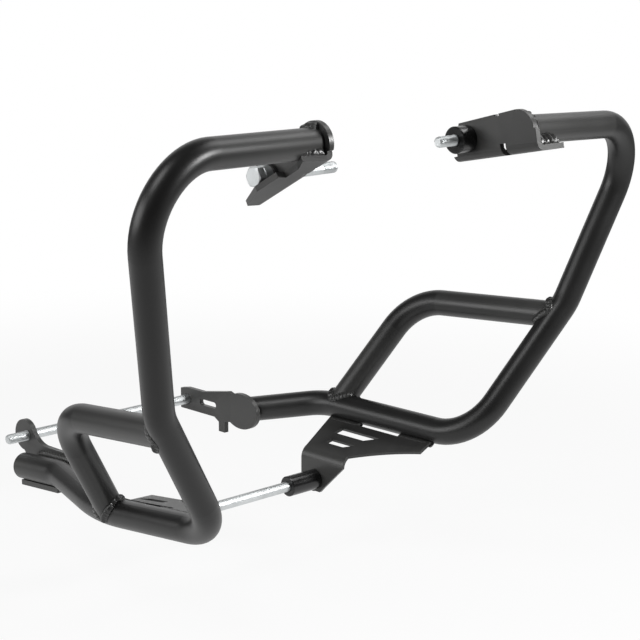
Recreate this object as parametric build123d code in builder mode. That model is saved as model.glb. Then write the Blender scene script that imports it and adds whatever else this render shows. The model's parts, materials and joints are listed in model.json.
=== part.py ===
"""Motorcycle crash bars: a pair of bent-tube engine guards joined under the engine by two long bolts.

X runs across the motorcycle, -Y is its front and +Z is up. The two guards follow the same plan on either
side of the centre plane, but the left one (-X) hangs lower towards the back, where the engine is deeper.
Every guard is a bent main tube, a loop tube let into it, and three welded sheet plates that carry the bolts.
"""
import os
from math import asin, atan2, cos, degrees, hypot, pi, sin, tan

from build123d import *

os.makedirs("parts", exist_ok=True)

# Tube stock
tube_diameter = 25.4
tube_wall = 2.0
bend_radius = 55.0
heel_bend_radius = 240.0
weld_gap = 0.2

# Sheet stock
bracket_thickness = 5.0
ear_thickness = 5.0
gusset_thickness = 3.0
fold_radius = 3.0
left_gusset_fold_radius = 3.0
right_gusset_fold_radius = 10.0

# Half widths from the centre plane to the inner faces of the plates
upper_half_width = 98.0
ear_half_width = 100.0
gusset_half_width = 97.0

# Rear through bolt's axis in the frame, and the front one's place from it
rear_bolt_y = 226.5
rear_bolt_z = 56.3
front_bolt_ahead = 200.0
front_bolt_drop = 43.0

# Fasteners: the threads are plain cylinders of the M10 pitch diameter
bolt_diameter = 10.0
thread_diameter = 9.03
bolt_clearance = 1.0
head_across_flats = 16.0
head_height = 7.0
head_face_diameter = 15.0
tip_chamfer = 1.2
rim_chamfer = 0.8
washer_diameter = 20.0
washer_thickness = 2.0

# Shared plan of both guards: distance out from the centre plane and ahead of the rear bolt
upper_bend_out = 310.6
knee_out = 247.0
knee_ahead = 387.0
loop_corner_out = 219.0
loop_corner_ahead = 217.0

# Height of the left upper tube end over the rear bolt, from which both upper runs are taken
bar_height = 324.2
left_upper_bend_rise = 7.7
right_end_drop = 2.3
right_upper_bend_drop = 13.1

# Left guard: heights over the rear bolt, and the run back to the stub
left_end_ahead = 409.0
left_upper_bend_ahead = 447.2
left_knee_up = 121.5
left_foot_out = 166.0
left_foot_ahead = 359.0
left_foot_up = 0.5
left_heel_out = 156.0
left_heel_ahead = 188.0
left_heel_up = -20.0
left_stub_bend_ahead = 73.4
left_stub_bend_up = -20.6
left_stub_end_ahead = 14.0
left_stub_end_up = -25.0
left_loop_corner_up = 86.0
left_loop_below_knee = 19.5
left_loop_before_heel = 16.7

# Right guard
right_end_ahead = 449.0
right_upper_bend_ahead = 422.5
right_knee_up = 141.3
right_foot_out = 157.6
right_foot_ahead = 349.3
right_foot_up = 16.4
right_heel_out = 154.0
right_heel_ahead = 154.0
right_heel_up = 16.5
right_stub_end_ahead = 81.0
right_stub_end_up = 2.6
right_loop_corner_up = 122.5
right_loop_below_knee = 14.0
right_loop_before_heel = 19.5

# Upper brackets: a rounded end over the tube, an arm back to the bolt and a flange folded under the tube
bracket_rim = 5.2
bracket_reach = 58.0
left_bracket_tail = 24.0
right_bracket_tail = 19.0
left_bolt_drop = 2.8
right_bolt_drop = 0.8
bracket_tail_drop = 11.0
bracket_tail_rise = 13.6
flange_gap = 2.3
flange_width = 34.4
left_flange_lift = 2.0
flange_taper = 32.0
flange_tail_width = 20.0
flange_waist_from_end = 5.0
flange_waist_width = 26.0
left_flange_front = 11.0
right_flange_front = 20.0
flange_notch_from_end = 15.5
flange_notch_width = 6.0
flange_notch_depth = 11.0
edge_notch_from_end = 21.5
edge_notch_width = 5.0
edge_notch_depth = 3.1
right_relief_length = 17.0
relief_height = 5.0
left_bracket_pitch = 28.6
right_bracket_pitch = 11.2
spacer_diameter = 24.0
spacer_length = 17.0
collar_diameter = 17.5
collar_length = 9.0
seal_diameter = 18.0
seal_length = 5.0
left_bolt_length = 85.5
left_thread_length = 17.5
right_bolt_length = 45.5
right_thread_length = 21.0

# Left ear plate, which lies along the stub
left_ear_radius = 15.5
left_ear_behind = 4.0
left_body_top = -5.0
left_body_ahead = 76.0
left_ear_blend = 25.0
left_ear_flange_width = 23.0

# Right ear plate, which caps the slanting end of the tube
right_ear_nose = 10.3
right_ear_rise = 12.5
right_ear_drop = 11.0
right_shoulder_ahead = 66.0
right_shoulder_rise = 20.0
right_pad_length = 51.0
right_pad_height = 37.0
ear_slot_start = 24.0
ear_slot_length = 19.5
ear_slot_width = 6.6
right_pad_ahead = 4.0
ear_slot_rise = 1.0
right_ear_bevel = 2.0
right_tab_ahead = 51.0
right_tab_length = 9.5
right_tab_drop = 25.0
right_tab_slope = 4.0
right_tab_run = 7.0

# Gusset plates: a panel from the tube to a fold, and a tongue hanging from it with the front bolt
tongue_height = 26.0
tongue_radius = 12.6
tongue_shoulder = 2.0
left_tongue_behind = 13.0
right_tongue_behind = 20.0
left_panel_corner = 4.5
tongue_ahead = 38.0
left_panel_low = -6.0
right_panel_low = 5.0
left_panel_behind = -1.0
right_panel_behind = 29.0
panel_ahead = 107.0
panel_nose = 16.0
panel_scoop_radius = 280.0
stitch_length = 40.0
stitch_recess = 4.0
weld_depth = 6.0
left_long_slot_end = 63.4
left_short_slot_end = 36.2
right_long_slot_end = -5.0
right_short_slot_end = -2.5
long_slot_from_fold = 38.0
long_slot_length = 56.0
long_slot_width = 8.5
short_slot_from_fold = 21.2
short_slot_length = 36.0
short_slot_width = 6.5
slot_slant = 30.0
sleeve_diameter = 20.0
sleeve_length = 37.5

# Through bolts: how far the threaded ends stand out of the left plates
rear_bolt_end = 23.0
front_bolt_end = 20.0
plug_rim = 2.0
plug_round = 1.2
plug_depth = 16.0
plug_clearance = 0.15

DEGREE = pi / 180
tube_radius = tube_diameter / 2
upper_face = upper_half_width + bracket_thickness
ear_face = ear_half_width + ear_thickness
gusset_face = gusset_half_width + gusset_thickness
front_bolt_y = rear_bolt_y - front_bolt_ahead
front_bolt_z = rear_bolt_z - front_bolt_drop
hole_radius = (bolt_diameter + bolt_clearance) / 2
stub_out = ear_face + weld_gap + tube_radius


def place(out, ahead, up):
    """A point of a guard from its distances out, ahead of and above the rear bolt."""
    return Vector(out, rear_bolt_y - ahead, rear_bolt_z + up)


def toward(start, end, distance):
    """The point at a distance from start on the line to end."""
    return start + (end - start).normalized() * distance


def bent_tube(points, bends, outer, inner=0.0):
    """A round tube, or a solid bar, along straight runs joined by bends of the given radii."""
    with BuildPart() as run:
        with BuildLine() as path:
            FilletPolyline(*points, radius=bends)
        with BuildSketch(Plane(origin=path.line @ 0, z_dir=path.line % 0)):
            Circle(outer)
            if inner > 0:
                Circle(inner, mode=Mode.SUBTRACT)
        sweep(path=path.wire())
    return run.part


def cut_at_plate(tube, end, face):
    """Cuts a tube's end flat where it meets a plate whose outer face is a distance out."""
    with BuildPart() as trimmed:
        add(tube)
        with BuildSketch(Plane.YZ.offset(face)):
            with Locations((end.Y, end.Z)):
                Circle(3 * tube_diameter)
        extrude(amount=-3 * tube_diameter, mode=Mode.SUBTRACT)
    return trimmed.part


def upper_bracket(end, pitch, front, back, drop, lift, relief, seat):
    """Sheet bracket on an upper end: rounded cap, arm to the bolt and flange folded out under the tube."""
    face = Plane(origin=(upper_half_width, end.Y, end.Z), x_dir=Vector(0, 1, 0).rotate(Axis.X, -pitch),
                 z_dir=(1, 0, 0))
    cap_radius = tube_radius + bracket_rim
    fold_top = tube_radius + flange_gap
    fold_bottom = fold_top + bracket_thickness
    tail = bracket_reach + back
    arm_end = tail - bracket_tail_drop
    strap_front = flange_notch_from_end + flange_notch_width
    section = Plane(origin=face.origin + face.x_dir * tail, x_dir=(1, 0, 0), z_dir=-face.x_dir)
    with BuildPart() as bracket:
        with BuildSketch(section):
            with BuildLine():
                Polyline((0, 0), (bracket_thickness, 0), (bracket_thickness, -fold_top),
                         (flange_width, lift - fold_top), (flange_width, lift - fold_bottom),
                         (0, -fold_bottom), close=True)
            make_face()
            fillet(vertices().sort_by_distance((bracket_thickness, -fold_top))[0], fold_radius)
            fillet(vertices().sort_by_distance((0, -fold_bottom))[0], fold_radius + bracket_thickness)
        extrude(amount=tail + front)
        with BuildSketch(face):
            Circle(cap_radius)
            with BuildLine():
                Polyline((0, cap_radius), (arm_end, bracket_tail_rise), (tail, -bracket_tail_drop),
                         (-front, -bracket_tail_drop), (-cap_radius, 0), close=True)
            make_face()
            with Locations((0, fold_radius + bracket_thickness - fold_bottom)):
                Rectangle(3 * tail, fold_bottom, align=(Align.CENTER, Align.MAX), mode=Mode.SUBTRACT)
        extrude(amount=bracket_thickness)
        # The arm's upper corner and the flange taper towards the back, and the flange has a waist
        with BuildSketch(face):
            with BuildLine():
                Polyline((arm_end, bracket_tail_rise), (tail, -bracket_tail_drop),
                         (2 * tail, -bracket_tail_drop), (2 * tail, cap_radius), (arm_end, cap_radius),
                         close=True)
            make_face()
        extrude(amount=flange_width, mode=Mode.SUBTRACT)
        with BuildSketch(Plane(origin=face.origin, x_dir=face.x_dir, z_dir=face.y_dir)):
            with BuildLine():
                Polyline((tail - flange_taper, -flange_width), (tail, -flange_tail_width),
                         (tail, -flange_width), close=True)
            make_face()
            with BuildLine():
                Polyline((-front, -flange_width), (flange_waist_from_end, -flange_waist_width),
                         (strap_front, -flange_waist_width), (strap_front, -flange_width), close=True)
            make_face()
        extrude(amount=-2 * fold_bottom, mode=Mode.SUBTRACT)
        # Relief notches at the end of the weld: through the fold and in the upper edge
        with BuildSketch(face):
            with Locations((flange_notch_from_end + flange_notch_width / 2, -fold_bottom)):
                Rectangle(flange_notch_width, 2 * (fold_bottom - bracket_tail_drop + fold_radius / 2))
        extrude(amount=flange_notch_depth, mode=Mode.SUBTRACT)
        with BuildSketch(face):
            with Locations((edge_notch_from_end, cap_radius)):
                Rectangle(edge_notch_width, 2 * edge_notch_depth)
            if relief > 0:
                with Locations((tail, -fold_top)):
                    Rectangle(relief, relief_height, align=(Align.MAX, Align.MIN))
        extrude(amount=bracket_thickness, mode=Mode.SUBTRACT)
        with BuildSketch(face):
            with Locations((bracket_reach, -drop)):
                Circle(hole_radius)
        extrude(amount=bracket_thickness, mode=Mode.SUBTRACT)
        add(seat, mode=Mode.SUBTRACT)
    return bracket.part


def gusset_plate(foot, heel, inside, panel_low, panel_behind, panel_corner, tongue_behind, slot_ends, way,
                 seat):
    """Folded gusset: a slotted panel welded along the bottom tube and a tongue round the front bolt.

    Inside is the fold's radius. The slots run from their square ends, given as distances ahead of the
    bolt, forwards or (way -1) back.
    """
    run = heel - foot
    pitch = atan2(run.Z, run.Y)
    back = Vector(0, cos(pitch), sin(pitch))
    up = Vector(0, -sin(pitch), cos(pitch))
    bolt = Vector(gusset_half_width, front_bolt_y, front_bolt_z)
    corner = bolt + up * tongue_height
    # The bottom tube's axis seen along the fold, from the fold's sharp corner
    middle = foot + run * ((bolt.Y - panel_ahead / 2 - foot.Y) / run.Y)
    across = (middle - corner).X
    rise = (middle - corner).dot(up)
    distance = hypot(across, rise)
    slope = atan2(rise, across) - asin(panel_low / distance)
    reach = (distance ** 2 - panel_low ** 2) ** 0.5
    contact = reach - (tube_radius ** 2 - panel_low ** 2) ** 0.5
    out = Vector(cos(slope), 0, 0) + up * sin(slope)
    normal = out.cross(back)
    turn = atan2(1, 0) - slope
    outside = inside + gusset_thickness
    setback = outside * tan(turn / 2)
    panel = Plane(origin=corner, x_dir=out, z_dir=normal)
    tongue = Plane(origin=bolt, x_dir=back, z_dir=(1, 0, 0))
    with BuildPart() as gusset:
        with BuildSketch(panel):
            with BuildLine():
                l1 = Line((setback, panel_corner), (contact, panel_behind))
                l2 = Line(l1 @ 1, (contact + weld_depth, panel_behind))
                l3 = Line(l2 @ 1, (contact + weld_depth, -panel_ahead))
                l4 = Line(l3 @ 1, (contact - panel_nose, -panel_ahead))
                RadiusArc(l4 @ 1, (setback, -tongue_ahead), -panel_scoop_radius)
                Line((setback, -tongue_ahead), l1 @ 0)
            make_face()
        extrude(amount=-gusset_thickness)
        with BuildSketch(tongue):
            with BuildLine():
                left = Line((panel_corner, tongue_height - setback), (tongue_behind, tongue_shoulder))
                right = Line((-tongue_ahead, tongue_height - setback), (-tongue_radius, -tongue_radius / 2))
                Line(left @ 0, right @ 0)
                TangentArc(left @ 1, (0, -tongue_radius), tangent=(0, -1))
                Line((0, -tongue_radius), (-tongue_radius / 2, -tongue_radius))
                Line((-tongue_radius / 2, -tongue_radius), right @ 1)
            make_face()
        extrude(amount=gusset_thickness)
        # The fold between them
        axis_point = bolt + up * (tongue_height - setback) + Vector(outside, 0, 0)
        with BuildSketch(Plane(origin=bolt + up * (tongue_height - setback), x_dir=(1, 0, 0), z_dir=up)):
            with BuildLine():
                Polyline((0, panel_corner), (gusset_thickness, panel_corner),
                         (gusset_thickness, -tongue_ahead), (0, -tongue_ahead), close=True)
            make_face()
        revolve(axis=Axis(axis_point, back), revolution_arc=degrees(turn))
        # Slots beside the weld and in the panel, and the bolt's hole
        with BuildSketch(panel):
            gap_length = panel_behind + panel_ahead - 2 * stitch_length
            with Locations((contact, (panel_behind - panel_ahead) / 2)):
                Rectangle(2 * stitch_recess, gap_length)
            slots = ((long_slot_from_fold, long_slot_length, long_slot_width),
                     (short_slot_from_fold, short_slot_length, short_slot_width))
            for (middle_line, length, width), square_end in zip(slots, slot_ends):
                lean = width / tan(slot_slant * DEGREE)
                near = middle_line - width / 2
                far = middle_line + width / 2
                with BuildLine():
                    Polyline((near, -square_end), (far, -square_end - way * lean / 4),
                             (far, -square_end - way * length), (near, -square_end - way * (length - lean)),
                             close=True)
                make_face()
        extrude(amount=-gusset_thickness, mode=Mode.SUBTRACT)
        with BuildSketch(tongue):
            Circle(hole_radius)
        extrude(amount=gusset_thickness, mode=Mode.SUBTRACT)
        add(seat, mode=Mode.SUBTRACT)
    return gusset.part


def ring(start, length, outer, inner, y, z):
    """A round spacer or washer across the motorcycle, from a distance out towards the outside."""
    with BuildPart() as body:
        with BuildSketch(Plane.YZ.offset(start)):
            with Locations((y, z)):
                Circle(outer)
                Circle(inner, mode=Mode.SUBTRACT)
        extrude(amount=length)
        rims = body.edges().filter_by(GeomType.CIRCLE).group_by(SortBy.RADIUS)[-1]
        chamfer(rims, min(rim_chamfer, length / 4))
    return body.part


def hex_bolt(seat_x, length, thread, y, z):
    """A hexagon bolt whose head stands outside its seat and whose shank and thread run inwards from it."""
    with BuildPart() as bolt:
        with BuildSketch(Plane.YZ.offset(seat_x)):
            with Locations((y, z)):
                RegularPolygon(head_across_flats / 2, 6, major_radius=False)
        extrude(amount=head_height)
        # The corners of the head's face are turned off at 30 degrees
        with BuildSketch(Plane.YZ.offset(seat_x + head_height)):
            with Locations((y, z)):
                Circle(head_face_diameter / 2)
        extrude(amount=-head_height, taper=-60, mode=Mode.INTERSECT)
        with BuildSketch(Plane.YZ.offset(seat_x)):
            with Locations((y, z)):
                Circle(bolt_diameter / 2)
        extrude(amount=thread - length)
        with BuildSketch(Plane.YZ.offset(seat_x + thread - length)):
            with Locations((y, z)):
                Circle(thread_diameter / 2)
        extrude(amount=-thread)
        chamfer(bolt.faces().sort_by(Axis.X)[0].edges(), tip_chamfer)
    return bolt.part


# Left guard, drawn on the +X side and mirrored to its own
left_end = place(upper_face, left_end_ahead, bar_height)
left_upper = place(upper_bend_out, left_upper_bend_ahead, bar_height + left_upper_bend_rise)
left_knee = place(knee_out, knee_ahead, left_knee_up)
left_foot = place(left_foot_out, left_foot_ahead, left_foot_up)
left_heel = place(left_heel_out, left_heel_ahead, left_heel_up)
left_stub_bend = place(stub_out, left_stub_bend_ahead, left_stub_bend_up)
left_stub_end = place(stub_out, left_stub_end_ahead, left_stub_end_up)
left_route = [toward(left_end, left_upper, -tube_diameter), left_upper, left_knee, left_foot, left_heel,
              left_stub_bend, left_stub_end]
left_bends = [bend_radius, bend_radius, bend_radius, heel_bend_radius, bend_radius]
left_bar = bent_tube(left_route, left_bends, tube_radius + weld_gap)
left_seat = cut_at_plate(left_bar, left_end, upper_face)
left_hollow = bent_tube(left_route, left_bends, tube_radius, tube_radius - tube_wall)
left_tube = cut_at_plate(left_hollow, left_end, upper_face + weld_gap)
left_loop_corner = place(loop_corner_out, loop_corner_ahead, left_loop_corner_up)
left_loop_route = [toward(left_knee, left_foot, left_loop_below_knee), left_loop_corner,
                   toward(left_heel, left_foot, left_loop_before_heel)]
left_loop = bent_tube(left_loop_route, bend_radius, tube_radius, tube_radius - tube_wall)

with BuildPart() as left_main_tube:
    mirror(left_tube, about=Plane.YZ)
left_main_tube.part.label = "left_main_tube"
export_step(left_main_tube.part, "parts/left_main_tube.step")

with BuildPart() as left_loop_coped:
    add(left_loop)
    add(left_seat, mode=Mode.SUBTRACT)

with BuildPart() as left_loop_tube:
    mirror(left_loop_coped.part, about=Plane.YZ)
left_loop_tube.part.label = "left_loop_tube"
export_step(left_loop_tube.part, "parts/left_loop_tube.step")

# Right guard
right_end = place(upper_face, right_end_ahead, bar_height - right_end_drop)
right_upper = place(upper_bend_out, right_upper_bend_ahead, bar_height - right_upper_bend_drop)
right_knee = place(knee_out, knee_ahead, right_knee_up)
right_foot = place(right_foot_out, right_foot_ahead, right_foot_up)
right_heel = place(right_heel_out, right_heel_ahead, right_heel_up)
right_stub_end = place(ear_face, right_stub_end_ahead, right_stub_end_up)
right_route = [toward(right_end, right_upper, -tube_diameter), right_upper, right_knee, right_foot,
               right_heel, toward(right_stub_end, right_heel, -1.5 * tube_diameter)]
right_bar = bent_tube(right_route, bend_radius, tube_radius + weld_gap)
right_seat = cut_at_plate(cut_at_plate(right_bar, right_end, upper_face), right_stub_end, ear_face)
right_hollow = bent_tube(right_route, bend_radius, tube_radius, tube_radius - tube_wall)
right_tube = cut_at_plate(cut_at_plate(right_hollow, right_end, upper_face + weld_gap), right_stub_end,
                          ear_face + weld_gap)
right_loop_corner = place(loop_corner_out, loop_corner_ahead, right_loop_corner_up)
right_loop_route = [toward(right_knee, right_foot, right_loop_below_knee), right_loop_corner,
                    toward(right_heel, right_foot, right_loop_before_heel)]
right_loop = bent_tube(right_loop_route, bend_radius, tube_radius, tube_radius - tube_wall)

with BuildPart() as right_main_tube:
    add(right_tube)
right_main_tube.part.label = "right_main_tube"
export_step(right_main_tube.part, "parts/right_main_tube.step")

with BuildPart() as right_loop_tube:
    add(right_loop)
    add(right_seat, mode=Mode.SUBTRACT)
right_loop_tube.part.label = "right_loop_tube"
export_step(right_loop_tube.part, "parts/right_loop_tube.step")

# Upper brackets
left_bracket = upper_bracket(left_end, left_bracket_pitch, left_flange_front, left_bracket_tail,
                             left_bolt_drop, left_flange_lift, 0, left_seat)
with BuildPart() as left_upper_bracket:
    mirror(left_bracket, about=Plane.YZ)
left_upper_bracket.part.label = "left_upper_bracket"
export_step(left_upper_bracket.part, "parts/left_upper_bracket.step")

with BuildPart() as right_upper_bracket:
    add(upper_bracket(right_end, right_bracket_pitch, right_flange_front, right_bracket_tail,
                      right_bolt_drop, 0, right_relief_length, right_seat))
right_upper_bracket.part.label = "right_upper_bracket"
export_step(right_upper_bracket.part, "parts/right_upper_bracket.step")

# Left ear plate: an ear round the rear bolt, a body beside the stub and a flange folded out under it
stub_run = left_stub_end - left_stub_bend
stub_back = stub_run.normalized()
flange_top = tube_radius + weld_gap
flange_bottom = flange_top + ear_thickness
ear_plane = Plane.YZ.offset(ear_half_width)
with BuildPart() as left_ear:
    with BuildSketch(ear_plane):
        with Locations((rear_bolt_y + left_ear_behind, rear_bolt_z)):
            Circle(left_ear_radius)
        with BuildLine():
            low = left_stub_end.Z - flange_top
            tail_y = left_stub_end.Y
            Polyline((rear_bolt_y - left_body_ahead, rear_bolt_z + left_body_top),
                     (rear_bolt_y + left_ear_behind, rear_bolt_z + left_body_top),
                     (rear_bolt_y + left_ear_behind + left_ear_radius, rear_bolt_z),
                     (rear_bolt_y + left_ear_radius - left_ear_behind, rear_bolt_z - left_ear_radius / 2),
                     (tail_y, low), (rear_bolt_y - left_body_ahead, left_stub_bend.Z - flange_top),
                     close=True)
        make_face()
        notch_y = rear_bolt_y + left_ear_behind - (left_ear_radius ** 2 - left_body_top ** 2) ** 0.5
        fillet(vertices().sort_by_distance((notch_y, rear_bolt_z + left_body_top))[0], left_ear_blend)
        with Locations((rear_bolt_y, rear_bolt_z)):
            Circle(hole_radius, mode=Mode.SUBTRACT)
    extrude(amount=ear_thickness)
    with BuildSketch(Plane(origin=(ear_half_width, left_stub_end.Y, left_stub_end.Z), x_dir=(1, 0, 0),
                           z_dir=-stub_back)):
        with BuildLine():
            Polyline((0, left_body_top), (ear_thickness, left_body_top), (ear_thickness, -flange_top),
                     (left_ear_flange_width, -flange_top), (left_ear_flange_width, -flange_bottom),
                     (0, -flange_bottom), close=True)
        make_face()
        fillet(vertices().sort_by_distance((0, -flange_bottom))[0], fold_radius + ear_thickness)
    extrude(amount=stub_run.length)
left_ear_solid = left_ear.part

with BuildPart() as left_ear_plate:
    mirror(left_ear_solid, about=Plane.YZ)
left_ear_plate.part.label = "left_ear_plate"
export_step(left_ear_plate.part, "parts/left_ear_plate.step")

# Right ear plate: an arm with a slot from the rear bolt to a pad over the tube's slanting end
with BuildPart() as right_ear_plate:
    with BuildSketch(ear_plane):
        with Locations((right_stub_end.Y - right_pad_ahead, right_stub_end.Z)):
            Ellipse(right_pad_length / 2, right_pad_height / 2)
        with BuildLine():
            Polyline((rear_bolt_y + right_ear_nose, rear_bolt_z + right_ear_rise - right_ear_bevel),
                     (rear_bolt_y, rear_bolt_z + right_ear_rise),
                     (rear_bolt_y - 2.5 * right_ear_nose, rear_bolt_z + right_ear_rise),
                     (rear_bolt_y - right_shoulder_ahead, rear_bolt_z + right_shoulder_rise),
                     (right_stub_end.Y, right_stub_end.Z + right_pad_height / 3),
                     (right_stub_end.Y, right_stub_end.Z - right_pad_height / 3),
                     (rear_bolt_y - right_tab_ahead, rear_bolt_z - right_ear_drop - right_tab_slope),
                     (rear_bolt_y - right_tab_ahead + right_tab_run, rear_bolt_z - right_ear_drop),
                     (rear_bolt_y + right_ear_nose, rear_bolt_z - right_ear_drop), close=True)
        make_face()
        with Locations((rear_bolt_y - right_tab_ahead, rear_bolt_z)):
            Rectangle(right_tab_length, right_tab_drop, align=(Align.MAX, Align.MAX))
        with Locations((rear_bolt_y, rear_bolt_z)):
            Circle(hole_radius, mode=Mode.SUBTRACT)
        with Locations((rear_bolt_y - ear_slot_start - ear_slot_length / 2, rear_bolt_z + ear_slot_rise)):
            SlotCenterToCenter(ear_slot_length, ear_slot_width, mode=Mode.SUBTRACT)
    extrude(amount=ear_thickness)
    add(right_seat, mode=Mode.SUBTRACT)
right_ear_plate.part.label = "right_ear_plate"
export_step(right_ear_plate.part, "parts/right_ear_plate.step")

# Gusset plates
left_gusset = gusset_plate(left_foot, left_heel, left_gusset_fold_radius, left_panel_low, left_panel_behind,
                           left_panel_corner, left_tongue_behind,
                           (left_long_slot_end, left_short_slot_end), -1, left_seat)
with BuildPart() as left_gusset_plate:
    mirror(left_gusset, about=Plane.YZ)
left_gusset_plate.part.label = "left_gusset_plate"
export_step(left_gusset_plate.part, "parts/left_gusset_plate.step")

with BuildPart() as right_gusset_plate:
    add(gusset_plate(right_foot, right_heel, right_gusset_fold_radius, right_panel_low, right_panel_behind,
                     right_tongue_behind, right_tongue_behind, (right_long_slot_end, right_short_slot_end),
                     1, right_seat))
right_gusset_plate.part.label = "right_gusset_plate"
export_step(right_gusset_plate.part, "parts/right_gusset_plate.step")

# Upper fasteners: the left bolt stands off its bracket on a collar and a seal, the right one on a washer
left_turn = left_bracket_pitch * DEGREE
left_bolt_y = left_end.Y + bracket_reach * cos(left_turn) - left_bolt_drop * sin(left_turn)
left_bolt_z = left_end.Z - bracket_reach * sin(left_turn) - left_bolt_drop * cos(left_turn)
right_turn = right_bracket_pitch * DEGREE
right_bolt_y = right_end.Y + bracket_reach * cos(right_turn) - right_bolt_drop * sin(right_turn)
right_bolt_z = right_end.Z - bracket_reach * sin(right_turn) - right_bolt_drop * cos(right_turn)

left_bolt_seat = upper_face + seal_length + collar_length
left_bolt = hex_bolt(left_bolt_seat, left_bolt_length, left_thread_length, left_bolt_y, left_bolt_z)
with BuildPart() as left_upper_bolt:
    mirror(left_bolt, about=Plane.YZ)
left_upper_bolt.part.label = "left_upper_bolt"
export_step(left_upper_bolt.part, "parts/left_upper_bolt.step")

left_collar = ring(upper_face + seal_length, collar_length, collar_diameter / 2, hole_radius, left_bolt_y,
                   left_bolt_z)
with BuildPart() as left_upper_collar:
    mirror(left_collar, about=Plane.YZ)
left_upper_collar.part.label = "left_upper_collar"
export_step(left_upper_collar.part, "parts/left_upper_collar.step")

left_seal = ring(upper_face, seal_length, seal_diameter / 2, hole_radius, left_bolt_y, left_bolt_z)
with BuildPart() as left_upper_seal:
    mirror(left_seal, about=Plane.YZ)
left_upper_seal.part.label = "left_upper_seal"
export_step(left_upper_seal.part, "parts/left_upper_seal.step")

right_bolt = hex_bolt(upper_face + washer_thickness, right_bolt_length, right_thread_length, right_bolt_y,
                      right_bolt_z)
with BuildPart() as right_upper_bolt:
    add(right_bolt)
right_upper_bolt.part.label = "right_upper_bolt"
export_step(right_upper_bolt.part, "parts/right_upper_bolt.step")

right_disc = ring(upper_face, washer_thickness, washer_diameter / 2, hole_radius, right_bolt_y, right_bolt_z)
with BuildPart() as right_upper_washer:
    add(right_disc)
right_upper_washer.part.label = "right_upper_washer"
export_step(right_upper_washer.part, "parts/right_upper_washer.step")

right_spacer = ring(upper_half_width - spacer_length, spacer_length, spacer_diameter / 2, hole_radius,
                    right_bolt_y, right_bolt_z)
with BuildPart() as right_upper_spacer:
    add(right_spacer)
right_upper_spacer.part.label = "right_upper_spacer"
export_step(right_upper_spacer.part, "parts/right_upper_spacer.step")

# Through bolts, headed on the right and threaded out of the left plates, with their washers and sleeves
rear_seat = ear_face + washer_thickness
rear_length = rear_seat + ear_face + rear_bolt_end
rear_bolt = hex_bolt(rear_seat, rear_length, rear_bolt_end, rear_bolt_y, rear_bolt_z)
with BuildPart() as rear_through_bolt:
    add(rear_bolt)
rear_through_bolt.part.label = "rear_through_bolt"
export_step(rear_through_bolt.part, "parts/rear_through_bolt.step")

rear_disc = ring(ear_face, washer_thickness, washer_diameter / 2, hole_radius, rear_bolt_y, rear_bolt_z)
with BuildPart() as rear_through_washer:
    add(rear_disc)
rear_through_washer.part.label = "rear_through_washer"
export_step(rear_through_washer.part, "parts/rear_through_washer.step")

front_seat = gusset_face + washer_thickness
front_length = front_seat + gusset_face + front_bolt_end
front_bolt = hex_bolt(front_seat, front_length, front_bolt_end, front_bolt_y, front_bolt_z)
with BuildPart() as front_through_bolt:
    add(front_bolt)
front_through_bolt.part.label = "front_through_bolt"
export_step(front_through_bolt.part, "parts/front_through_bolt.step")

front_disc = ring(gusset_face, washer_thickness, washer_diameter / 2, hole_radius, front_bolt_y, front_bolt_z)
with BuildPart() as front_through_washer:
    add(front_disc)
front_through_washer.part.label = "front_through_washer"
export_step(front_through_washer.part, "parts/front_through_washer.step")

sleeve = ring(gusset_half_width - sleeve_length, sleeve_length, sleeve_diameter / 2, hole_radius,
              front_bolt_y, front_bolt_z)
with BuildPart() as right_gusset_sleeve:
    add(sleeve)
right_gusset_sleeve.part.label = "right_gusset_sleeve"
export_step(right_gusset_sleeve.part, "parts/right_gusset_sleeve.step")

with BuildPart() as left_gusset_sleeve:
    mirror(sleeve, about=Plane.YZ)
left_gusset_sleeve.part.label = "left_gusset_sleeve"
export_step(left_gusset_sleeve.part, "parts/left_gusset_sleeve.step")

# Plug in the open end of the left stub
stub_plane = Plane(origin=left_stub_end, x_dir=(1, 0, 0), z_dir=stub_back)
with BuildPart() as plug:
    with BuildSketch(stub_plane):
        Circle(tube_radius)
    extrude(amount=plug_rim)
    fillet(plug.faces().sort_by(Axis.Y)[-1].edges(), plug_round)
    with BuildSketch(stub_plane):
        Circle(tube_radius - tube_wall - plug_clearance)
    extrude(amount=-plug_depth)
plug_solid = plug.part

with BuildPart() as left_stub_plug:
    mirror(plug_solid, about=Plane.YZ)
left_stub_plug.part.label = "left_stub_plug"
export_step(left_stub_plug.part, "parts/left_stub_plug.step")
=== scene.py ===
"""Looks of the motorcycle crash bars: coat, zinc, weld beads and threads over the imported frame."""
import json
import math
import random

import bmesh
import bpy
from mathutils import Euler, Matrix, Vector
from mathutils.bvhtree import BVHTree


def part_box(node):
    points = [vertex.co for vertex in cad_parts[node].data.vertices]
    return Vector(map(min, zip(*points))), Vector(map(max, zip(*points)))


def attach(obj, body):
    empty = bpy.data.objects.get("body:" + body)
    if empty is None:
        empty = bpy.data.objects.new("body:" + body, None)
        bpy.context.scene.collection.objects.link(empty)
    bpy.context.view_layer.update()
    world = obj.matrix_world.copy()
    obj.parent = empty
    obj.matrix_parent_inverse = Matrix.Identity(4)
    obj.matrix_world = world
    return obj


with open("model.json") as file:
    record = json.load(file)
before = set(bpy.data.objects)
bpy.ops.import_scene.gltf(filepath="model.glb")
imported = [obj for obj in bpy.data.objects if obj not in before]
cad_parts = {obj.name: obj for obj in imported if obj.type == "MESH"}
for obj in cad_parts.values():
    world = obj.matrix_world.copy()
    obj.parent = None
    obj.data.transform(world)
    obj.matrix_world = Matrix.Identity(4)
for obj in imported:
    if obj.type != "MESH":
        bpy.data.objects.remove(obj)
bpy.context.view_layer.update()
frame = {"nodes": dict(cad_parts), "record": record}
nodes = frame["nodes"]
scene = bpy.context.scene
scene.view_settings.view_transform = "Standard"
rng = random.Random(7)

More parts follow.
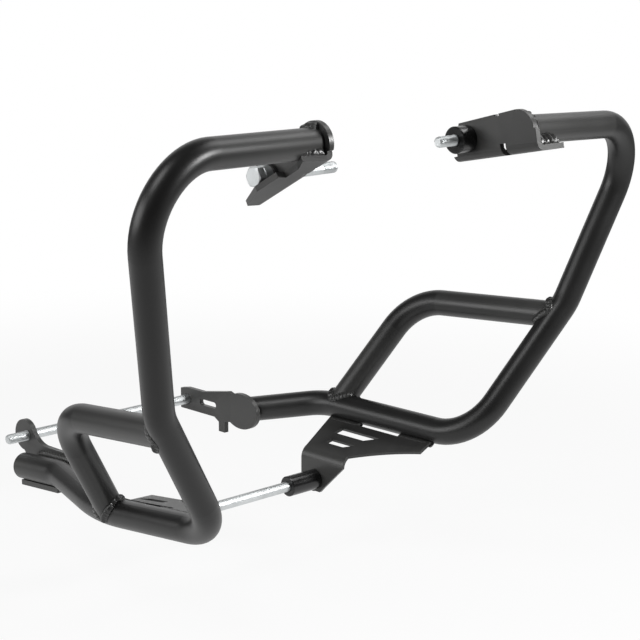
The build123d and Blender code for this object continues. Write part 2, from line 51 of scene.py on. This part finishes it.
MM = 0.001


# Shader nodes

def new_material(name):
    material = bpy.data.materials.new(name)
    material.use_nodes = True
    tree = material.node_tree
    return material, tree, tree.nodes["Principled BSDF"]


def add_node(tree, kind, **sockets):
    """A new node, with the sockets named here set to plain values."""
    node = tree.nodes.new(kind)
    for key, value in sockets.items():
        node.inputs[key.replace("_", " ")].default_value = value
    return node


def object_coords(tree):
    return tree.nodes.new("ShaderNodeTexCoord").outputs["Object"]


def noise(tree, coords, scale, detail=4.0, roughness=0.55):
    node = add_node(tree, "ShaderNodeTexNoise", Scale=scale, Detail=detail, Roughness=roughness)
    tree.links.new(coords, node.inputs["Vector"])
    return node.outputs["Fac"]


def ramp(tree, source, stops):
    """A colour ramp between two stops, each a position and a colour."""
    node = tree.nodes.new("ShaderNodeValToRGB")
    for element, (position, colour) in zip(node.color_ramp.elements, stops):
        element.position = position
        element.color = (*colour, 1.0)
    tree.links.new(source, node.inputs["Fac"])
    return node.outputs["Color"]


def map_range(tree, source, values, span=(0.0, 1.0), shape="LINEAR"):
    """The source's span mapped to a range of values."""
    node = tree.nodes.new("ShaderNodeMapRange")
    node.interpolation_type = shape
    for socket, value in zip(("From Min", "From Max", "To Min", "To Max"), (*span, *values)):
        node.inputs[socket].default_value = value
    tree.links.new(source, node.inputs["Value"])
    return node.outputs["Result"]


def math_node(tree, operation, first, second):
    node = tree.nodes.new("ShaderNodeMath")
    node.operation = operation
    tree.links.new(first, node.inputs[0])
    tree.links.new(second, node.inputs[1])
    return node.outputs["Value"]


def vector_node(tree, operation, source, fixed):
    """The distance or dot product between a source vector and a fixed one."""
    node = tree.nodes.new("ShaderNodeVectorMath")
    node.operation = operation
    node.inputs[1].default_value = fixed
    tree.links.new(source, node.inputs[0])
    return node.outputs["Value"]


def choose(tree, switch, off, on):
    """The value off, or on where the switch is 1; each is an output or a plain number."""
    node = tree.nodes.new("ShaderNodeMix")
    tree.links.new(switch, node.inputs["Factor"])
    for socket, value in (("A", off), ("B", on)):
        if isinstance(value, float):
            node.inputs[socket].default_value = value
        else:
            tree.links.new(value, node.inputs[socket])
    return node.outputs["Result"]


def add_colours(tree, first, second):
    node = tree.nodes.new("ShaderNodeMix")
    node.data_type = "RGBA"
    node.blend_type = "ADD"
    node.inputs["Factor"].default_value = 1.0
    tree.links.new(first, node.inputs["A"])
    tree.links.new(second, node.inputs["B"])
    return node.outputs["Result"]


def bump(tree, shader, height, strength, distance):
    node = add_node(tree, "ShaderNodeBump", Strength=strength, Distance=distance)
    tree.links.new(height, node.inputs["Height"])
    tree.links.new(node.outputs["Normal"], shader.inputs["Normal"])


# Materials

BLACK = (0.0, 0.0, 0.0)
EDGE_PAINTED_HIGHLIGHT = (0.035, 0.035, 0.034)
PEEL_SHARE = 0.28
ZINC_DARK = (0.60, 0.62, 0.625)
ZINC_PALE = (0.74, 0.765, 0.77)
SCRATCH_SCALE = (10.0, 800.0, 800.0)


def powder_coat(name, dark, pale, rough, grain=1500.0, strength=0.03):
    """Satin black powder coat: fine orange peel, cloudy gloss, and a little grey on the convex edges as a
    painted highlight.
    """
    material, tree, shader = new_material(name)
    coords = object_coords(tree)
    cloud = noise(tree, coords, scale=26.0, detail=5.0)
    fine = noise(tree, coords, grain, detail=3.0, roughness=0.6)
    peel = noise(tree, coords, grain * PEEL_SHARE, detail=2.0, roughness=0.5)
    colour = ramp(tree, cloud, [(0.3, dark), (0.75, pale)])
    pointiness = tree.nodes.new("ShaderNodeNewGeometry").outputs["Pointiness"]
    # Convex edges get up to 0.035 of grey added: a painted highlight where the rounded edges catch the light
    edge = ramp(tree, pointiness, [(0.52, BLACK), (0.62, EDGE_PAINTED_HIGHLIGHT)])
    tree.links.new(add_colours(tree, colour, edge), shader.inputs["Base Color"])
    tree.links.new(map_range(tree, cloud, (rough - 0.05, rough + 0.06)), shader.inputs["Roughness"])
    bump(tree, shader, math_node(tree, "ADD", fine, peel), strength, distance=0.3 * MM)
    shader.inputs["IOR"].default_value = 1.5
    return material


def zinc(name):
    """Dull zinc plate: pale, faintly clouded metal with fine scratches along the bolts."""
    material, tree, shader = new_material(name)
    coords = object_coords(tree)
    cloud = noise(tree, coords, scale=60.0)
    colour = ramp(tree, cloud, [(0.3, ZINC_DARK), (0.7, ZINC_PALE)])
    tree.links.new(colour, shader.inputs["Base Color"])
    mapping = add_node(tree, "ShaderNodeMapping", Scale=SCRATCH_SCALE)
    tree.links.new(coords, mapping.inputs["Vector"])
    scratch = noise(tree, mapping.outputs["Vector"], scale=1.0)
    tree.links.new(map_range(tree, scratch, (0.40, 0.58)), shader.inputs["Roughness"])
    bump(tree, shader, scratch, strength=0.03, distance=0.1 * MM)
    shader.inputs["Metallic"].default_value = 1.0
    return material


def plastic(name, dark, pale, rough, grain):
    """Moulded black: small grain with a soft sheen."""
    material, tree, shader = new_material(name)
    coords = object_coords(tree)
    cloud = noise(tree, coords, scale=90.0)
    tree.links.new(ramp(tree, cloud, [(0.3, dark), (0.7, pale)]), shader.inputs["Base Color"])
    tree.links.new(map_range(tree, cloud, (rough - 0.06, rough + 0.06)), shader.inputs["Roughness"])
    bump(tree, shader, noise(tree, coords, grain, detail=2.0), strength=0.15, distance=0.2 * MM)
    return material


coat = powder_coat("powder_coat", (0.0075, 0.0075, 0.0074), (0.011, 0.011, 0.0108), rough=0.37)
# The welds carry the same black coat but up to four times paler and cloudier: a painted sheen for the
# highlights on the rippled beads
painted_sheen_weld_coat = powder_coat("weld_coat_painted_sheen", (0.012, 0.012, 0.0118), (0.042, 0.042, 0.041), rough=0.32,
                        grain=700.0, strength=0.5)
sleeve_black = plastic("sleeve_black", (0.006, 0.006, 0.0062), (0.010, 0.010, 0.0103), rough=0.22,
                       grain=1200.0)
rubber = plastic("rubber", (0.010, 0.010, 0.010), (0.016, 0.016, 0.016), rough=0.62, grain=1800.0)
plug = plastic("plug_plastic", (0.012, 0.012, 0.0122), (0.018, 0.018, 0.0183), rough=0.55, grain=1500.0)
bright = zinc("zinc_plate")

by_slot = {"powder_coat": coat, "sleeve_black": sleeve_black, "zinc": bright, "rubber": rubber, "plug": plug}
for part in frame["record"]["subparts"]:
    mesh = nodes[part["node"]].data
    mesh.materials.clear()
    mesh.materials.append(by_slot[part["material_slot"]])


# New pieces

def add_piece(name, bm, material, smooth):
    """A piece on the part's one body, from a finished bmesh."""
    bmesh.ops.recalc_face_normals(bm, faces=bm.faces)
    mesh = bpy.data.meshes.new(name)
    bm.to_mesh(mesh)
    bm.free()
    for face in mesh.polygons:
        face.use_smooth = smooth
    mesh.materials.append(material)
    piece = bpy.data.objects.new(name, mesh)
    scene.collection.objects.link(piece)
    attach(piece, "root")


# Seams: runs of a piece's sharp edges that lie on the piece it is welded to

SEAM_REACH = 0.45 * MM
SAME_CORNER = 0.01 * MM
SHARP = math.radians(25)


def bmesh_of(node):
    bm = bmesh.new()
    bm.from_mesh(nodes[node].data)
    return bm


def tree_of(node):
    bm = bmesh_of(node)
    tree = BVHTree.FromBMesh(bm)
    bm.free()
    return tree


def seam_links(node, on):
    """The corners that a node's seam edges join, and where each corner is."""
    near = tree_of(on)
    bm = bmesh_of(node)
    bmesh.ops.remove_doubles(bm, verts=bm.verts, dist=SAME_CORNER)
    bm.verts.index_update()
    links = {}
    where = {}
    for edge in bm.edges:
        if len(edge.link_faces) != 2 or edge.calc_face_angle(0.0) < SHARP:
            continue
        if any(near.find_nearest(corner.co)[3] >= SEAM_REACH for corner in edge.verts):
            continue
        for corner in edge.verts:
            links.setdefault(corner.index, set()).add(edge.other_vert(corner).index)
            where[corner.index] = corner.co.copy()
    bm.free()
    return links, where


def run_length(points, closed):
    pairs = zip(points, points[1:] + ([points[0]] if closed else []))
    return sum((b - a).length for a, b in pairs)


def seam_chains(node, on):
    """A node's seams on another node, the longest first: the points of each and whether it closes."""
    links, where = seam_links(node, on)
    chains = []
    seen = set()
    for start in sorted(links, key=lambda i: (len(links[i]) != 1, i)):
        if start in seen:
            continue
        chain = []
        onward = [start]
        while onward:
            chain.append(onward[0])
            seen.add(onward[0])
            onward = [i for i in sorted(links[chain[-1]]) if i not in seen]
        closed = len(chain) > 4 and chain[0] in links[chain[-1]]
        chains.append(([where[i] for i in chain], closed))
    return sorted(chains, key=lambda chain: -run_length(*chain))


def resample(points, closed, step):
    """Points at even steps along a run."""
    stops = points + ([points[0]] if closed else [])
    total = run_length(points, closed)
    count = max(6, round(total / step))
    out = []
    travelled = 0.0
    i = 0
    for k in range(count if closed else count + 1):
        target = total * k / count
        while i < len(stops) - 2 and travelled + (stops[i + 1] - stops[i]).length < target:
            travelled += (stops[i + 1] - stops[i]).length
            i += 1
        span = (stops[i + 1] - stops[i]).length or 1.0
        out.append(stops[i].lerp(stops[i + 1], min(1.0, (target - travelled) / span)))
    return out


# Weld beads: fillets with coin-like ripples, coated over in a paler, mottled copy of the coat that is
# painted sheen

RIPPLE = 3.4 * MM
COARSE_RIPPLE = 4.5 * MM
CAP_RIPPLE = 4.8 * MM
RIPPLE_STEPS = 6
BEAD_FACES = 6
COIN_BOW = 0.45
TOE_WANDER = 0.12
FLANGE_TOE_WANDER = 0.08
CROWN_WANDER = 0.02
SINK = 0.15 * MM
ROOT_DEPTH = 0.4 * MM

LOOP_LEG = 4.4 * MM
CAP_LEG_ON_TUBE = 8.0 * MM
CAP_LEG = 4.4 * MM
GUSSET_LEG = 5.5 * MM
GUSSET_RUN = 25.0 * MM
EAR_LEG = 4.5 * MM
STUB_LEG = 6.0 * MM

# The left stub lies against its ear plate, and one run of weld fills the groove along its top, in mm
STUB_WELD = [(-105.2, 207.0, 42.0), (-105.2, 182.0, 43.5), (-105.2, 158.0, 44.5)]

# Inner faces of the upper brackets where the tubes end, in mm, and the brackets' pitch in degrees
TUBE_ENDS = {"left": (-98.0, -182.5, 380.5, 28.6), "right": (98.0, -222.5, 378.2, 11.2)}

# A bracket's flange under its tube, in mm: its top and outer end, and the root of the bead on it
FLANGE_TOP = -15.0
FLANGE_OUT = 34.4
FLANGE_ROOT_ALONG = -5.0
FLANGE_ROOT_OVER = 1.0


def bead_ring(bm, i, section, swell_low, swell_high):
    """One ring of a bead: over its crown from toe to toe, and back through its root."""
    toe_a, toe_b, root, outward = section
    width = (toe_b - toe_a).length
    ring = []
    for k in range(BEAD_FACES + 1):
        s = k / BEAD_FACES
        arch = 4 * s * (1 - s)
        phase = (i / RIPPLE_STEPS + COIN_BOW * arch) % 1.0
        coin = swell_high * (1 - phase) ** 2
        swell = width * (swell_low + coin + rng.uniform(-CROWN_WANDER, CROWN_WANDER))
        ring.append(bm.verts.new(toe_a.lerp(toe_b, s) + outward * swell * arch))
    ring.append(bm.verts.new(root))
    return ring


def lay_bead(name, sections, closed, swell_low=0.16, swell_high=0.15):
    """A rippled bead through sections of two toes, a buried root and the way its crown faces."""
    bm = bmesh.new()
    rings = [bead_ring(bm, i, section, swell_low, swell_high) for i, section in enumerate(sections)]
    for a, b in zip(rings, rings[1:] + ([rings[0]] if closed else [])):
        for k in range(len(a)):
            onward = (k + 1) % len(a)
            bm.faces.new((a[k], a[onward], b[onward], b[k]))
    if not closed:
        bm.faces.new(rings[0])
        bm.faces.new(rings[-1])
    add_piece(name, bm, painted_sheen_weld_coat, smooth=True)


def smoothed(sections, closed, reach=4):
    """Sections averaged with their neighbours, so that a bead runs evenly round a sharp corner."""
    count = len(sections)
    out = []
    for i in range(count):
        if closed:
            near = [sections[(i + k) % count] for k in range(-reach, reach + 1)]
        else:
            span = min(reach, i, count - 1 - i)
            near = sections[i - span:i + span + 1]
        out.append(tuple(sum(column, Vector()) / len(near) for column in zip(*near)))
    return out


def taper(i, last, start, step):
    """A run's share of its full size at section i: small at both ends and larger by steps from there."""
    return min(1.0, start + step * min(i, last - i))


def fillet_weld(name, points, closed, node, on, leg, leg_on=None, ripple=RIPPLE):
    """A rippled fillet along a seam, with a leg up the node and another over the one it is welded on."""
    near_a = tree_of(node)
    near_b = tree_of(on)
    leg_on = leg_on or leg
    path = resample(points, closed, ripple / RIPPLE_STEPS)
    sections = []
    for i, p in enumerate(path):
        normal_b = near_b.find_nearest(p)[1]
        normal_a = near_a.find_nearest(p + normal_b * leg)[1]
        along_a = (normal_b - normal_a * normal_b.dot(normal_a)).normalized()
        along_b = (normal_a - normal_b * normal_a.dot(normal_b)).normalized()
        grow = 1.0 + rng.uniform(-TOE_WANDER, TOE_WANDER)
        if not closed:
            grow *= taper(i, len(path) - 1, start=0.3, step=0.12)
        spot_a, face_a = near_a.find_nearest(p + along_a * leg * grow)[:2]
        spot_b, face_b = near_b.find_nearest(p + along_b * leg_on * grow)[:2]
        outward = (normal_a + normal_b).normalized()
        root = p - outward * ROOT_DEPTH
        sections.append((spot_a - face_a * SINK, spot_b - face_b * SINK, root, outward))
    lay_bead(name, smoothed(sections, closed), closed)


def bracket_point(side, out, along, over):
    """A point on an upper bracket: out from its inner face, along its arm and over the tube end's axis."""
    x, y, z, pitch = TUBE_ENDS[side]
    turn = math.radians(pitch)
    back = Vector((0.0, math.cos(turn), -math.sin(turn)))
    up = Vector((0.0, math.sin(turn), math.cos(turn)))
    return (Vector((x + math.copysign(out, x), y, z)) + back * along + up * over) * MM


def flange_weld(side, toe, rise, height, outs, steps=26):
    """A coarse bead in the groove between a bracket's flange and the front of the tube over it, in mm."""
    near = tree_of(f"{side}_main_tube")
    sections = []
    for i in range(steps + 1):
        out = outs[0] + (outs[1] - outs[0]) * i / steps
        top = FLANGE_TOP + rise * out / FLANGE_OUT
        wander = rng.uniform(-FLANGE_TOE_WANDER, FLANGE_TOE_WANDER)
        grow = taper(i, steps, start=0.75, step=0.15) * (1.0 + wander)
        root = bracket_point(side, out, FLANGE_ROOT_ALONG, top + FLANGE_ROOT_OVER)
        toe_a = bracket_point(side, out, toe * grow, top - SINK / MM)
        spot, normal = near.find_nearest(bracket_point(side, out, toe, top + height * grow))[:2]
        toe_b = spot - normal * SINK
        outward = ((toe_a + toe_b) / 2 - root).normalized()
        sections.append((toe_a, toe_b, root, outward))
    lay_bead(f"{side}_flange_weld", sections, False, swell_low=0.10, swell_high=0.22)


def guard_welds(side):
    """The welds of one guard's loop tube, bracket cap and gusset."""
    main = f"{side}_main_tube"
    loop = f"{side}_loop_tube"
    bracket = f"{side}_upper_bracket"
    gusset = f"{side}_gusset_plate"
    for i, (points, closed) in enumerate(seam_chains(loop, main)[:2]):
        fillet_weld(f"{side}_loop_weld_{i + 1}", points, closed, loop, main, LOOP_LEG)
    points, closed = seam_chains(main, bracket)[0]
    fillet_weld(f"{side}_cap_weld", points, closed, main, bracket, CAP_LEG_ON_TUBE, CAP_LEG, CAP_RIPPLE)
    for i, (points, closed) in enumerate(seam_chains(gusset, main)):
        if run_length(points, closed) > GUSSET_RUN:
            fillet_weld(f"{side}_gusset_weld_{i + 1}", points, closed, gusset, main, GUSSET_LEG)


def ear_welds():
    """The right tube's slanting end on its ear plate, and the run over the left stub."""
    tube, ear = "right_main_tube", "right_ear_plate"
    points, closed = seam_chains(tube, ear)[0]
    fillet_weld("right_ear_weld", points, closed, tube, ear, EAR_LEG)
    tube, ear = "left_main_tube", "left_ear_plate"
    points = [Vector(point) * MM for point in STUB_WELD]
    fillet_weld("left_ear_weld", points, False, ear, tube, STUB_LEG, ripple=COARSE_RIPPLE)


for side in ("left", "right"):
    guard_welds(side)
flange_weld("left", toe=-11.2, rise=2.0, height=6.0, outs=(8.0, 34.0))
flange_weld("right", toe=-18.0, rise=0.0, height=6.5, outs=(6.5, 32.0))
ear_welds()


# Threads on the free bolt ends

THREAD_PITCH = 1.5 * MM
THREAD_CREST = 4.95 * MM
THREAD_ROOT = 4.4 * MM
THREAD_START = 1.3 * MM
TURN_STEPS = 22
FADE_STEPS = 12

# The ridge's section: how far along the bolt from its middle, and the share of its height
RIDGE = ((-0.62 * MM, 0.0), (-0.1 * MM, 1.0), (0.1 * MM, 1.0), (0.62 * MM, 0.0))


def thread(name, node, tip_side, length):
    """A helical ridge on a bolt's free end; the bolt lies along X and its tip is on tip_side."""
    low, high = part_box(node)
    tip = low[0] if tip_side < 0 else high[0]
    y = (low[1] + high[1]) / 2
    z = (low[2] + high[2]) / 2
    count = int((length - THREAD_START) / THREAD_PITCH * TURN_STEPS)
    bm = bmesh.new()
    last = None
    for i in range(count + 1):
        turn = 2 * math.pi * i / TURN_STEPS
        along = THREAD_START + THREAD_PITCH * i / TURN_STEPS
        height = (THREAD_CREST - THREAD_ROOT) * min(1.0, i / FADE_STEPS, (count - i) / FADE_STEPS)
        ring = []
        for offset, share in RIDGE:
            x = tip - tip_side * (along + offset)
            r = THREAD_ROOT + height * share
            ring.append(bm.verts.new((x, y + r * math.cos(turn), z + r * math.sin(turn))))
        if last:
            for k in range(len(ring)):
                onward = (k + 1) % len(ring)
                bm.faces.new((last[k], last[onward], ring[onward], ring[k]))
        last = ring
    add_piece(name, bm, bright, smooth=False)


thread("left_upper_thread", "left_upper_bolt", tip_side=1, length=17.5 * MM)
thread("right_upper_thread", "right_upper_bolt", tip_side=-1, length=21.0 * MM)
thread("rear_thread", "rear_through_bolt", tip_side=-1, length=23.0 * MM)
thread("front_thread", "front_through_bolt", tip_side=-1, length=20.0 * MM)


# Floor and light, in metres; the photo's back is the way behind the part as the photo shows it

CENTRE = Vector((0.0, 0.0, 0.2))
PHOTO_BACK = Vector((0.69, 0.72, 0.0))
FLOOR_Z = -0.06
FLOOR_HALF = 12.0
GLOW_CENTRE = (0.2, 0.35, 0.0)
LAMP_SPREAD = math.radians(100)
WHITE = (1.0, 1.0, 1.0, 1.0)
PALE = (0.66, 0.66, 0.66, 1.0)


def ray_kinds(tree):
    """Switches for the rays of the camera, and for those that mirrors and glass send on."""
    path = tree.nodes.new("ShaderNodeLightPath").outputs
    mirror_ray = math_node(tree, "MAXIMUM", path["Is Glossy Ray"], path["Is Transmission Ray"])
    return path["Is Camera Ray"], mirror_ray


def floor_material():
    """A pale floor that keeps the part's shadow near it and is plain white further off."""
    material, tree, shader = new_material("pale_floor")
    shader.inputs["Base Color"].default_value = PALE
    shader.inputs["Roughness"].default_value = 0.9
    position = tree.nodes.new("ShaderNodeNewGeometry").outputs["Position"]
    away = vector_node(tree, "DISTANCE", position, GLOW_CENTRE)
    camera_ray, mirror_ray = ray_kinds(tree)
    mirrored = map_range(tree, away, values=(0.8, 0.0), span=(0.6, 1.6), shape="SMOOTHSTEP")
    seen = map_range(tree, away, values=(0.9, 1.0), span=(0.35, 1.1), shape="SMOOTHSTEP")
    glow = tree.nodes.new("ShaderNodeEmission")
    mix = tree.nodes.new("ShaderNodeMixShader")
    share = choose(tree, camera_ray, math_node(tree, "MULTIPLY", mirror_ray, mirrored), seen)
    tree.links.new(share, mix.inputs["Fac"])
    tree.links.new(shader.outputs["BSDF"], mix.inputs[1])
    tree.links.new(glow.outputs["Emission"], mix.inputs[2])
    tree.links.new(mix.outputs["Shader"], tree.nodes["Material Output"].inputs["Surface"])
    return material


def plain_floor():
    mesh = bpy.data.meshes.new("floor")
    corners = [(x * FLOOR_HALF, y * FLOOR_HALF, FLOOR_Z) for x, y in ((-1, -1), (1, -1), (1, 1), (-1, 1))]
    mesh.from_pydata(corners, [], [(0, 1, 2, 3)])
    mesh.materials.append(floor_material())
    floor = bpy.data.objects.new("floor", mesh)
    scene.collection.objects.link(floor)


def softbox(name, way, distance, size, radiance):
    """A soft lamp towards way from the part's middle, so bright for each square metre of its face."""
    data = bpy.data.lights.new(name, "AREA")
    data.shape = "RECTANGLE"
    data.size, data.size_y = size
    data.spread = LAMP_SPREAD
    data.energy = radiance * math.pi * size[0] * size[1]
    lamp = bpy.data.objects.new(name, data)
    lamp.location = CENTRE + Vector(way).normalized() * distance
    lamp.rotation_euler = (CENTRE - lamp.location).to_track_quat("-Z", "Y").to_euler()
    lamp.visible_camera = False
    scene.collection.objects.link(lamp)


def studio(ambient=0.18, room=0.06):
    """A dim room, white to the camera, with a pale sweep behind the part that its gloss shows too."""
    world = bpy.data.worlds.new("studio")
    scene.world = world
    world.use_nodes = True
    tree = world.node_tree
    direction = tree.nodes.new("ShaderNodeTexCoord").outputs["Generated"]
    toward = vector_node(tree, "DOT_PRODUCT", direction, PHOTO_BACK)
    sweep = map_range(tree, toward, values=(room, 1.0), span=(0.55, 0.98), shape="SMOOTHSTEP")
    camera_ray, mirror_ray = ray_kinds(tree)
    strength = choose(tree, camera_ray, choose(tree, mirror_ray, ambient, sweep), 1.0)
    background = tree.nodes["Background"]
    background.inputs["Color"].default_value = WHITE
    tree.links.new(strength, background.inputs["Strength"])


plain_floor()
studio()
softbox("right", way=(0.48, -0.90, 0.41), distance=1.12, size=(0.26, 0.20), radiance=20.0)
softbox("left", way=(-0.86, 0.45, 0.24), distance=2.2, size=(2.0, 0.9), radiance=1.3)
softbox("high_right", way=(0.66, -0.14, 0.72), distance=2.1, size=(0.8, 0.8), radiance=1.2)
softbox("high_left", way=(-0.60, 0.04, 0.79), distance=2.1, size=(0.9, 0.9), radiance=1.6)


# Camera: where it stands in metres, and how far it is turned from the part's front and tilted down

EYE = Vector((-1.10668, -1.23824, 0.55515))
CAMERA_TURN = 43.7403
CAMERA_TILT = 12.3199


def photo_camera():
    data = bpy.data.cameras.new("photo_camera")
    data.sensor_fit = "HORIZONTAL"
    data.sensor_width = 36.0
    data.lens = 103.68
    camera = bpy.data.objects.new("photo_camera", data)
    aim = Euler((math.radians(90.0 - CAMERA_TILT), 0.0, math.radians(-CAMERA_TURN)))
    camera.matrix_world = Matrix.LocRotScale(EYE, aim, None)
    scene.collection.objects.link(camera)
    scene.camera = camera


photo_camera()
